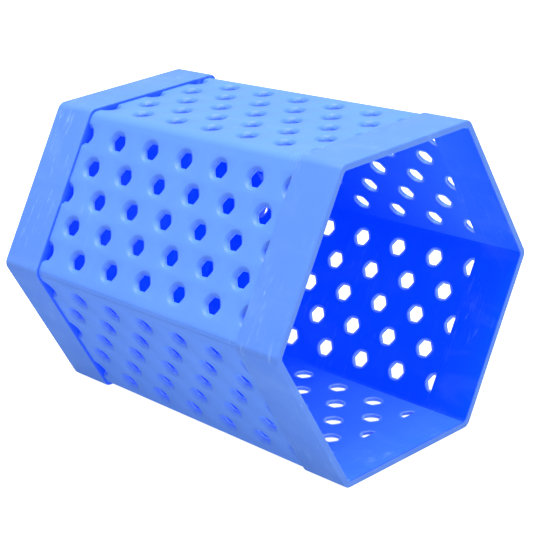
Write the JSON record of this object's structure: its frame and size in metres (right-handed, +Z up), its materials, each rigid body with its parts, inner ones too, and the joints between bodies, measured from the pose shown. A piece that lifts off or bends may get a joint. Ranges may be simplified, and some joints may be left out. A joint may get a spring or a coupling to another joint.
{
  "type": "perforated tumbling barrel",
  "caption": "Six-sided perforated plastic barrel with a solid collar at each end, a closed base and an open mouth, lying on one flat.",
  "frame": {"origin": "on the surface that the barrel lies on, under the middle of its bounding box", "axes": "+X towards the open mouth, +Z up; the barrel lies on the bottom flats of its two collars, so its own axis rises 1.61 degrees towards the mouth"},
  "size_m": [0.1356, 0.126, 0.1099],
  "materials": {
    "barrel_plastic": "satin light-blue moulded polypropylene"
  },
  "bodies": {
    "root": {"side_panel_1": "barrel_plastic", "side_panel_2": "barrel_plastic", "side_panel_3": "barrel_plastic", "side_panel_4": "barrel_plastic", "side_panel_5": "barrel_plastic", "side_panel_6": "barrel_plastic", "mouth_collar": "barrel_plastic", "base_collar": "barrel_plastic", "base_plate": "barrel_plastic"}
  },
  "joints": []
}
